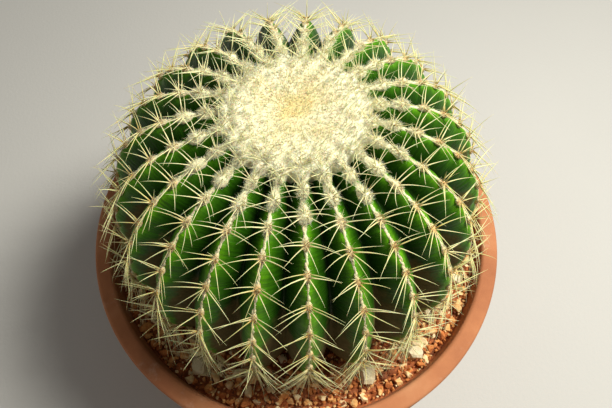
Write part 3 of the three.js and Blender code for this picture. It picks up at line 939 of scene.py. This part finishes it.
wool = woolly_finish("felt_wool", sheen=0.25)
wool_patches = wool.noise(350, detail=4)
wool_white = wool.blend(wool_patches, (0.92, 0.87, 0.54), (0.97, 0.94, 0.71))
wool_tan = wool.blend(wool_patches, (0.60, 0.31, 0.07), (0.85, 0.60, 0.22))
wool.wear("Base Color", wool.blend(wool.attribute("tan"), wool_white, wool_tan))

# %% Make the wool of each rib
WOOL_SEED = 900
CUSHION_ROUGHNESS = 0.2 * MM
YOUNG_ROUGHNESS_GAIN = 2
LOWER_HALF = (-1.3, -0.3)
HAIR_TAN_SHARE = 0.8


def make_rib_wool(rib):
    random = np.random.default_rng(WOOL_SEED + rib)
    places, longitude = areoles_of(rib), rib_longitude(rib)
    sizes = cushion_sizes(random, places)
    corners = cushion_places(longitude, places, sizes)
    push = random.normal(0, CUSHION_ROUGHNESS, corners.shape)
    corners = corners + push * (1 + YOUNG_ROUGHNESS_GAIN * youth_at(places)[:, None, None])
    tan = random.uniform(0.7, 1, len(places)) * tan_at(places)
    lower_half = smoothstep(corners_of(cushion_mesh)[:, 1], *LOWER_HALF)
    cushions = repeat("cushions", cushion_mesh, corners, tan=tan[:, None] * lower_half)

    lumps = felt_places(random, longitude, places)
    felt_tan = random.uniform(0, 0.2, len(lumps)) + np.linspace(0, 0.6, len(lumps))
    felt = repeat("felt", lump_mesh, lumps, tan=felt_tan)

    hair_parts, hair_tan = rib_hairs(random, longitude, places, sizes)
    hair_corners, _ = bend_copies(hair_mesh, *hair_parts)
    hairs = repeat("hairs", hair_mesh, hair_corners, tan=hair_tan * HAIR_TAN_SHARE)
    return join_meshes(f"rib_{rib + 1:02d}_wool", [cushions, felt, hairs])


for rib in range(RIBS):
    wool_mesh = make_rib_wool(rib)
    make_piece(wool_mesh, wool, "wool", f"rib_{rib + 1:02d}_spines")
print("Wool of the last rib has", len(wool_mesh.polygons), "faces")

# %% [markdown]
# ## The crown
#
# New areoles are born in the middle of the top, so close together that their wool runs into
# one white pillow, full of straight young spines. Separate tufts could be joined into it,
# but they would show as balls. So the pillow is one pressed globe with a dip in its middle,
# and a formula lifts its surface into tufts that stand in rings and grow outwards. Hair and
# short spines stand all over it, and the hairs lean away from the middle of their tuft.

# %% Outline of the pillow and places of the tufts
CROWN_SEED = 7
CROWN_OUTLINE_MM = [(62, 104), (60, 117), (55, 122), (44, 126), (32, 126), (20, 124.5), (0, 123.5)]
TUFT_RINGS_MM = [(55, 23), (45, 21), (36, 17), (27, 13), (18, 9), (9, 5), (0.5, 1)]
TUFT_SWAY = {"around": 1.2, "outwards": 1.4 * MM}
CROWN_RADIUS = 70.5 * MM
PILLOW_RADIUS = 54 * MM
LOBE_LENGTH = 8 * MM

crown_r, crown_z = np.array(CROWN_OUTLINE_MM).T * MM
crown_z = WIDEST_LEVEL + crown_z


def crown_height(radius):
    return np.interp(-radius, -crown_r, crown_z)


def lobes(turn):
    """1 where a rib enters the pillow, 0 between two ribs."""
    return 0.5 + 0.5 * np.cos((turn - FIRST_RIB) * RIBS)


def off_axis(spots):
    return np.hypot(spots[:, 0], spots[:, 1])


random = np.random.default_rng(CROWN_SEED)
tuft_spots = []
for ring, (ring_radius, count) in enumerate(TUFT_RINGS_MM):
    turns = FIRST_RIB + (np.arange(count) + 0.5 * (ring % 2)) * FULL_TURN / count
    turns = turns + random.normal(0, TUFT_SWAY["around"] / ring_radius, count)
    radii = ring_radius * MM + random.normal(0, TUFT_SWAY["outwards"], count)
    tuft_spots.append(polar(turns, radii, 0))
tuft_spots = np.concatenate(tuft_spots)
print("Tufts", len(tuft_spots))

# %% How the tufts lift the wool, and which way its hairs lean
TUFT_LEAN = 1.3

tuft_reach = off_axis(tuft_spots) / CROWN_RADIUS
tuft_width = (3.4 + 2.4 * tuft_reach) * MM
tuft_rise = (0.2 + 8.5 * tuft_reach**2.5) * MM * random.uniform(0.75, 1.25, len(tuft_reach))


def away_from_tufts(spots):
    return np.linalg.norm(spots[:, None, :2] - tuft_spots[None, :, :2], axis=-1)


def closeness_to_tufts(spots):
    return bell(away_from_tufts(spots) / tuft_width)


def tuft_lift(spots):
    return np.max(tuft_rise * closeness_to_tufts(spots), axis=1)


def tuft_gap(spots):
    """1 in the gaps between the outer tufts, where the wool gets painted shade."""
    outer = np.clip(off_axis(spots) / PILLOW_RADIUS, 0, 1) ** 2
    return (1 - np.max(closeness_to_tufts(spots), axis=1)) * outer


def tuft_lean(spots):
    """Which way the hairs of the nearest tuft lean: away from its middle."""
    nearest = np.argmin(away_from_tufts(spots), axis=1)
    off_middle = (spots[:, :2] - tuft_spots[nearest, :2]) / tuft_width[nearest, None]
    lean = np.zeros_like(spots)
    lean[:, :2] = off_middle * tuft_reach[nearest, None] ** 2 * TUFT_LEAN
    return lean


def goldness(share_out):
    """The wool is golden in the middle, and white from there outwards."""
    return np.clip(1.2 - share_out * 1.2, 0, 1)


# %% The pillow
PILLOW_STRIPS_PER_RIB = 9
PILLOW_RINGS = 76
PILLOW_FLOOR = WIDEST_LEVEL + 103.5 * MM
HAIR_DEPTH = 3 * MM
PILLOW_UNREST = 0.3 * MM
WALL_STEEPNESS = 4


def wool_height(spots):
    """Height of the pillow: the crown's outline lies at the ends of its hairs."""
    return crown_height(off_axis(spots)) - HAIR_DEPTH + tuft_lift(spots)


dome_mesh = simple_mesh(
    "pillow", bmesh.ops.create_uvsphere,
    u_segments=RIBS * PILLOW_STRIPS_PER_RIB, v_segments=PILLOW_RINGS, radius=1,
)
on_dome = corners_of(dome_mesh)
dome_turn = np.arctan2(on_dome[:, 0], -on_dome[:, 1])
dome_share = off_axis(on_dome)
spread = dome_share * (PILLOW_RADIUS + LOBE_LENGTH * lobes(dome_turn) * dome_share**4)
pillow = polar(dome_turn, spread, 0)
upper_share = np.sqrt(np.clip(on_dome[:, 2] * WALL_STEEPNESS, 0, 1))
pillow[:, 2] = PILLOW_FLOOR + (wool_height(pillow) - PILLOW_FLOOR) * upper_share
unrest = upper_share * smoothstep(dome_share, 0.1, 0.4)
pillow += random.normal(0, PILLOW_UNREST, pillow.shape) * unrest[:, None]
move_corners(dome_mesh, pillow)
give_attribute(dome_mesh, "gold", goldness(dome_share))
# The pillow's wall counts as a full gap, so the finish paints shade on it.
give_attribute(dome_mesh, "gap", np.maximum(tuft_gap(pillow), 1 - upper_share))
print("Pillow", millimetres(pillow[:, 2].max()), "mm high")

# %% Where hair and young spines stand on the pillow
WALL_SHARE = 0.14
TUFT_PULL = 0.3
OUTWARD_LEAN = 0.6


def spots_on_crown(count, tuftiness):
    """Spots, the way up from each, and how far out it is. Some are on the pillow's wall."""
    turns = random.uniform(0, FULL_TURN, count)
    share_out = np.sqrt(random.random(count) * (1 + WALL_SHARE))
    on_wall = share_out > 1
    share_out = np.minimum(share_out, 1)
    spots = polar(turns, share_out * (PILLOW_RADIUS + LOBE_LENGTH * lobes(turns)), 0)
    nearest = np.argmin(away_from_tufts(spots), axis=1)
    pull = TUFT_PULL * share_out[:, None] ** 2
    spots[:, :2] += (tuft_spots[nearest, :2] - spots[:, :2]) * pull
    rise = wool_height(spots) - PILLOW_FLOOR
    spots[:, 2] = PILLOW_FLOOR + rise * np.where(on_wall, random.random(count), 1)
    outwards = unit(spots * [1, 1, 0] + [0, 0, NEARLY_ZERO])
    lean = outwards * (OUTWARD_LEAN * share_out**3 + on_wall)[:, None]
    return spots, unit(lean + tuft_lean(spots) * tuftiness + [0, 0, 1]), share_out


# %% Hair of the crown
CROWN_HAIRS = 15000
CROWN_HAIR_HALF_WIDTH = 0.16 * MM

spots, stand, share_out = spots_on_crown(CROWN_HAIRS, tuftiness=1)
unrest = (0.20 + 0.20 * share_out)[:, None]
ways = unit(stand + random.normal(0, 1, stand.shape) * unrest)
lengths = random.uniform(1.6, 4.0, CROWN_HAIRS) * (0.5 + 0.6 * share_out) * MM
bends = lengths[:, None] * unrest * random.normal(0, 1, stand.shape)
corners, _ = bend_copies(hair_mesh, spots, ways, lengths, CROWN_HAIR_HALF_WIDTH, bends)
gold = goldness(share_out) * random.uniform(0.5, 1, CROWN_HAIRS)
# The hairs carry half the gap, so they get less painted shade.
crown_hairs = repeat("crown_hairs", hair_mesh, corners, gold=gold, gap=tuft_gap(spots) * 0.5)
crown_mesh = join_meshes("woolly_crown", [dome_mesh, crown_hairs])
print("Crown", len(crown_mesh.polygons), "faces of wool")

# %% Finish of the crown
golden = woolly_finish("golden_crown_wool", sheen=0.4)
golden_patch = golden.between(golden.noise(38, detail=2), 0.36, 0.62, 0.45, 1)
gold_share = golden.join("MULTIPLY", golden.attribute("gold"), golden_patch)
crown_patches = golden.noise(260, detail=4)
crown_white = golden.blend(crown_patches, (0.90, 0.88, 0.62), (0.94, 0.92, 0.76))
crown_gold = golden.blend(crown_patches, (0.61, 0.46, 0.17), (0.79, 0.71, 0.36))
crown_colour = golden.blend(gold_share, crown_white, crown_gold)
# Painted shade: in the gaps between the outer tufts and on the pillow's wall, the wool is darkened
# towards olive-brown.
painted_gap_shade = golden.between(golden.attribute("gap"), 0.4, 0.9, 0, 0.45)
crown_colour = golden.blend(painted_gap_shade, crown_colour, (0.42, 0.38, 0.18))
dry_specks = golden.between(golden.noise(300, detail=2), 0.62, 0.70, 0, 0.8)
dry_specks = golden.join("MULTIPLY", dry_specks, gold_share)
golden.wear("Base Color", golden.blend(dry_specks, crown_colour, (0.50, 0.28, 0.07)))
make_piece(crown_mesh, golden, "wool", "crown_wool")

# %% Young spines in the crown
YOUNG_SPINES = 1400
YOUNG_UNREST = 0.16
YOUNG_CURL = 0.08

roots, stand, share_out = spots_on_crown(YOUNG_SPINES, tuftiness=0.3)
ways = unit(stand + random.normal(0, YOUNG_UNREST, stand.shape))
lengths = random.uniform(4, 8, YOUNG_SPINES) * (0.6 + 1.5 * share_out**1.5) * MM
widths = random.uniform(0.14, 0.23, YOUNG_SPINES) * MM
bends = lengths[:, None] * YOUNG_CURL * random.normal(0, 1, stand.shape)
corners, reach = bend_copies(awl_mesh, roots, ways, lengths, widths, bends)
tones = random.random(YOUNG_SPINES)
young_mesh = repeat(
    "crown_awls", awl_mesh, corners, reach=reach * 0.5 + 0.4, tone=tones, age=0
)
make_piece(young_mesh, horn, "spines", "crown_wool")
print("Young spines", YOUNG_SPINES)

# %% [markdown]
# ## Gravel
#
# The pot is topped with crushed red stone, from grit to pieces as long as a fingernail. A
# broken stone is flat-sided. It could be a lump that noise has dented, but that looks like
# dough, so each pattern stone is the hull of a few random points. Two dozen patterns,
# turned and sized differently each time, are enough for no eye to find two alike. Rings of
# places with some disorder fill the bed evenly.

# %% Pattern stones
STONE_SEED = 21
STONE_PATTERNS = 24
STONE_POINTS = 17


def hull_stone(random, points, squash):
    stone = bmesh.new()
    for corner in unit(random.normal(0, 1, (points, 3))):
        stone.verts.new(corner * squash * random.uniform(0.8, 1.05))
    hull = bmesh.ops.convex_hull(stone, input=stone.verts)
    inside = [item for item in hull["geom_interior"] if isinstance(item, bmesh.types.BMVert)]
    bmesh.ops.delete(stone, geom=inside, context="VERTS")
    bmesh.ops.recalc_face_normals(stone, faces=stone.faces)
    return mesh_of(stone, "stone")


random = np.random.default_rng(STONE_SEED)
stone_patterns = [
    hull_stone(random, STONE_POINTS, random.uniform([0.85, 0.6, 0.5], [1.1, 0.95, 0.8]))
    for _ in range(STONE_PATTERNS)
]
print("Stones have", [len(stone.polygons) for stone in stone_patterns], "faces")

# %% Where stones lie
POT_INSIDE = 186 * MM
INNERMOST_RING = 110 * MM
RING_DISORDER = 0.2
WALL_OVERLAP = 0.75
PLANT_CLEARANCE = 0.8


def body_edge(longitude):
    """Distance of the body from the axis at the gravel's level."""
    level = np.arcsin((GRAVEL_TOP - WIDEST_LEVEL) / BODY_HALF_HEIGHT)
    crest_radius, _, out, _ = crest_at(level)
    _, across = across_rib(longitude)
    return crest_radius - out[0] * rib_depth_at(level) * across**FLANK_CURVE


def ring_places(random, layer):
    """Places in rings from the pot's wall in to the plant, each a little out of line."""
    spacing, half_size, lift, unevenness = (size * MM for size in layer[:4])
    places = []
    outermost = POT_INSIDE - half_size * WALL_OVERLAP
    for ring_radius in np.arange(outermost, INNERMOST_RING, -spacing):
        count = int(FULL_TURN * ring_radius / spacing)
        turns = (np.arange(count) + random.random()) * FULL_TURN / count
        turns = turns + random.normal(0, RING_DISORDER * spacing / ring_radius, count)
        radii = ring_radius - np.abs(random.normal(0, RING_DISORDER * spacing, count))
        heights = GRAVEL_TOP + lift + random.uniform(0, unevenness, count)
        keep = radii > body_edge(turns) + half_size * PLANT_CLEARANCE
        places.append(polar(turns, radii, heights)[keep])
    return np.concatenate(places)


# %% Turn the stones and lay them
BED_SEED = 33
# In millimetres. A crowding above 1 makes more of the stones small.
Layer = namedtuple("Layer", "spacing half_size lift unevenness smallest span crowding")
STONE_LAYERS = [
    Layer(9.5, 5, -4.5, 2, 4.5, 2, 1), Layer(11.5, 5.5, -1, 2.5, 4.2, 3.6, 1.6),
    Layer(4.7, 2, -1, 3, 1.2, 1.8, 1),
]


def turn_matrices(random, count):
    """Random rotations, from random unit quaternions."""
    quaternions = unit(random.normal(0, 1, (count, 4)))
    cross = np.cross(np.eye(3), quaternions[:, None, 1:])
    return np.eye(3) + 2 * quaternions[:, :1, None] * cross + 2 * cross @ cross


def lay_stones(random, places, half_sizes):
    meshes = []
    pattern = random.integers(0, len(stone_patterns), len(places))
    turns = turn_matrices(random, len(places))
    tones = random.random(len(places))
    for number, stone in enumerate(stone_patterns):
        mine = pattern == number
        local = corners_of(stone)[None] * half_sizes[mine][:, None, None]
        corners = np.einsum("nij,nkj->nki", turns[mine], local) + places[mine][:, None]
        meshes.append(repeat("stones", stone, corners, tone=tones[mine]))
    return meshes


random = np.random.default_rng(BED_SEED)
stone_places = [ring_places(random, layer) for layer in STONE_LAYERS]
stone_meshes = []
for layer, places in zip(STONE_LAYERS, stone_places):
    half_sizes = layer.smallest + layer.span * random.random(len(places)) ** layer.crowding
    stone_meshes += lay_stones(random, places, half_sizes * MM)
print("Stones below, above and of grit:", [len(places) for places in stone_places])

# %% The bed under the stones
BED_OUTLINE_MM = [(120, 138.5), (186.2, 138.5), (186.6, 146), (150, 147), (122, 146)]
BED_STEPS = 184


def draw_outline(shape, outline_mm):
    """A closed line through corners given by their distance from the axis and height."""
    corners = [shape.verts.new((0, -r * MM, z * MM)) for r, z in outline_mm]
    for a, b in zip(corners, corners[1:] + corners[:1]):
        shape.edges.new((a, b))
    return corners


def spin_round(shape, steps):
    bmesh.ops.spin(
        shape, geom=shape.verts[:] + shape.edges[:], cent=(0, 0, 0), axis=(0, 0, 1),
        angle=FULL_TURN, steps=steps, use_merge=True, use_duplicate=False,
    )
    bmesh.ops.recalc_face_normals(shape, faces=shape.faces)


bed = bmesh.new()
draw_outline(bed, BED_OUTLINE_MM)
spin_round(bed, BED_STEPS)
bed_mesh = mesh_of(bed, "bed")
dark_tone = 0.15
give_attribute(bed_mesh, "tone", np.full(len(bed_mesh.vertices), dark_tone))
gravel_mesh = join_meshes("red_gravel", [bed_mesh] + stone_meshes)
print("Gravel", len(gravel_mesh.polygons), "faces")

# %% Finish of the stones
gravel = Finish("crushed_red_stone", roughness=0.85)
stone_flecks = gravel.noise(260, detail=5, roughness=0.65)
stone_tone = gravel.join(
    "ADD", gravel.attribute("tone"), gravel.between(stone_flecks, 0.2, 0.8, -0.14, 0.14)
)
stone_colour = gravel.ramp(stone_tone, [
    (0.0, (0.13, 0.034, 0.010)), (0.18, (0.38, 0.100, 0.024)), (0.42, (0.64, 0.21, 0.052)),
    (0.64, (0.78, 0.37, 0.110)), (0.82, (0.86, 0.57, 0.25)), (1.0, (0.93, 0.80, 0.50)),
])
dust = gravel.between(gravel.noise(900), 0.45, 0.75, 0, 0.25)
gravel.wear("Base Color", gravel.blend(dust, stone_colour, (0.64, 0.34, 0.15)))
pits = gravel.bump(gravel.noise(1400, detail=4, roughness=0.7), depth=0.35 * MM)
gravel.wear("Normal", gravel.bump(gravel.noise(320), depth=1 * MM, under=pits))
make_piece(gravel_mesh, gravel, "gravel", "gravel", smooth=False)

# %% [markdown]
# ## Pale chips
#
# A few larger chips of cream stone lie on the red ones. Each is a slab that broke off a
# bigger stone: flat faces at odd angles, with edges that have worn a little. A hull of
# points would be too round for that, so each is broken out of a cube: planes cut its sides
# off one after another, each cut is closed with a face, and the edges are bevelled.

# %% Finish of the chips
chalk = Finish("pale_stone", roughness=0.8)
veins = chalk.noise(90, detail=6, roughness=0.7)
cream = chalk.ramp(veins, [
    (0.3, (0.50, 0.38, 0.20)), (0.5, (0.74, 0.64, 0.42)), (0.72, (0.88, 0.81, 0.60)),
])
specks = chalk.between(chalk.noise(900), 0.62, 0.74, 0, 0.6)
chalk.wear("Base Color", chalk.blend(specks, cream, (0.30, 0.18, 0.09)))
chip_pits = chalk.bump(chalk.noise(1100, detail=5, roughness=0.75), depth=0.4 * MM)
chalk.wear("Normal", chalk.bump(veins, depth=1.2 * MM, under=chip_pits))

# %% Break the chips out of cubes
CHIPS = 8
CHIP_SEED = 55
CHIP_CUTS = 7
CHIP_WORN_EDGE = 0.035
random = np.random.default_rng(CHIP_SEED)


def break_chip(name):
    chip = bmesh.new()
    bmesh.ops.create_cube(chip, size=2)
    for cut in range(CHIP_CUTS):
        turn = (cut + random.uniform(-0.3, 0.3)) * FULL_TURN / CHIP_CUTS
        slope = random.uniform(-0.15, 0.75)
        broken = np.array([math.cos(turn), math.sin(turn), slope])
        bite = broken * random.uniform(0.78, 0.98)
        cut_off = cut_across(chip, plane_co=bite, plane_no=broken, clear_outer=True)
        rim = [item for item in cut_off["geom_cut"] if isinstance(item, bmesh.types.BMEdge)]
        bmesh.ops.holes_fill(chip, edges=rim)
    bmesh.ops.bevel(
        chip, geom=chip.edges[:], offset=CHIP_WORN_EDGE, segments=2, profile=0.5,
        affect="EDGES", material=-1,
    )
    bmesh.ops.triangulate(chip, faces=chip.faces)
    bmesh.ops.recalc_face_normals(chip, faces=chip.faces)
    return mesh_of(chip, name)


# %% Fit each chip into the box of its CAD node
for number in range(1, CHIPS + 1):
    chip_mesh = break_chip(f"cream_chip_{number}")
    low, high = (np.array(corner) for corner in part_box(f"pale_chip_{number}"))
    corners = corners_of(chip_mesh)
    corners = (corners - corners.min(axis=0)) / np.ptp(corners, axis=0) * (high - low) + low
    move_corners(chip_mesh, corners)
    make_piece(chip_mesh, chalk, "pale_stone", f"pale_chip_{number}", smooth=False)
print("Chips", CHIPS, "the last", millimetres(*(high - low)), "mm")

# %% [markdown]
# ## The clay pot
#
# A plain clay pot is thrown on a wheel or pressed in a turning mould. It could be built
# from cylinders, but its shape really is one outline turned about the middle, so it is made
# like that: the corners of the rim are rounded first, and then the outline is spun round.

# %% Turn the pot
POT_OUTLINE_MM = [
    (12, 4), (114, 4), (118, 0), (140, 0), (142, 2), (195, 127), (205, 127), (205, 170),
    (189, 170), (184, 127), (127, 14), (12, 14),
]
POT_STEPS = 192
RIM_CORNERS = slice(5, 9)
RIM_ROUNDING = 3.4 * MM
WALL_CUT = 60 * MM

pot_shape = bmesh.new()
pot_corners = draw_outline(pot_shape, POT_OUTLINE_MM)
bmesh.ops.bevel(
    pot_shape, geom=pot_corners[RIM_CORNERS], offset=RIM_ROUNDING, segments=5, profile=0.5,
    affect="VERTICES", material=-1,
)
cut_level(pot_shape, WALL_CUT)
spin_round(pot_shape, POT_STEPS)
pot_mesh = mesh_of(pot_shape, "clay_pot")
print("Pot", len(pot_mesh.polygons), "faces")

# %% [markdown]
# ## Clay
#
# Fired clay is cloudy in colour, with a pale bloom of salts where water has dried, dark
# specks, faint rings from the turning and fine pores. A photo of clay could be wrapped
# round it, but would show a seam. Noise at five scales has none. One is stretched flat: that
# makes the rings.

# %% Finish of the clay
clay = Finish("terracotta", roughness=0.85)
clay_colour = clay.ramp(clay.noise(14, detail=5, roughness=0.6), [
    (0.3, (0.36, 0.125, 0.052)), (0.5, (0.47, 0.18, 0.075)), (0.72, (0.58, 0.27, 0.13)),
])
bloom = clay.between(clay.noise(30, detail=8, roughness=0.75), 0.55, 0.78, 0, 0.45)
bloomed = clay.blend(bloom, clay_colour, (0.72, 0.56, 0.44))
fine_specks = clay.between(clay.noise(1300, detail=2), 0.66, 0.74, 0, 0.5)
clay.wear("Base Color", clay.blend(fine_specks, bloomed, (0.20, 0.08, 0.04)))
turning_rings = clay.noise(1, place=clay.stretch((6, 6, 420)))
clay_pores = clay.bump(clay.noise(1600), depth=0.25 * MM)
clay.wear("Normal", clay.bump(turning_rings, depth=0.35 * MM, under=clay_pores))
make_piece(pot_mesh, clay, "clay", "pot")

# %% [markdown]
# ## Growing mix
#
# Under the gravel lies dark, gritty mix. It could be modelled crumb by crumb, but only a
# little of it can ever be seen, through the drain hole, so the CAD solid stays and just
# gets its finish.

# %% Finish of the growing mix
mix = Finish("gritty_mix", roughness=0.95)
crumbs = mix.noise(400, detail=5, roughness=0.7)
mix.wear("Base Color", mix.ramp(crumbs, [
    (0.35, (0.020, 0.012, 0.008)), (0.6, (0.075, 0.05, 0.03)), (0.8, (0.25, 0.20, 0.14)),
]))
mix.wear("Normal", mix.bump(crumbs, depth=1 * MM))
for slot in frame["nodes"]["growing_mix"].material_slots:
    slot.material = mix.material

# %% [markdown]
# ## Floor
#
# The pot stands on a plain pale floor of smooth plaster. It could curve up into a backdrop,
# but the camera looks down, so a wide flat square fills the picture.

# %% Floor
floor_mesh = simple_mesh(
    "pale_floor", bmesh.ops.create_grid, x_segments=1, y_segments=1, size=30
)
plaster = Finish("pale_plaster", roughness=0.8)
plaster_cloud = plaster.noise(3, detail=4)
plaster.wear("Base Color", plaster.blend(plaster_cloud, (0.52, 0.52, 0.51), (0.56, 0.56, 0.55)))
plaster.wear("Normal", plaster.bump(plaster.noise(220), depth=0.3 * MM))
floor_mesh.materials.append(plaster.material)
put_in_scene("pale_floor", floor_mesh)

# %% Remove the pattern shapes, and count the triangles
for mesh in [awl_mesh, hair_mesh, cushion_mesh, lump_mesh, *stone_patterns]:
    bpy.data.meshes.remove(mesh)

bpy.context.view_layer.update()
triangles = sum(
    sum(len(face.vertices) - 2 for face in thing.data.polygons)
    for thing in bpy.context.scene.objects if thing.type == "MESH" and not thing.hide_render
)
print("Triangles in all", triangles)
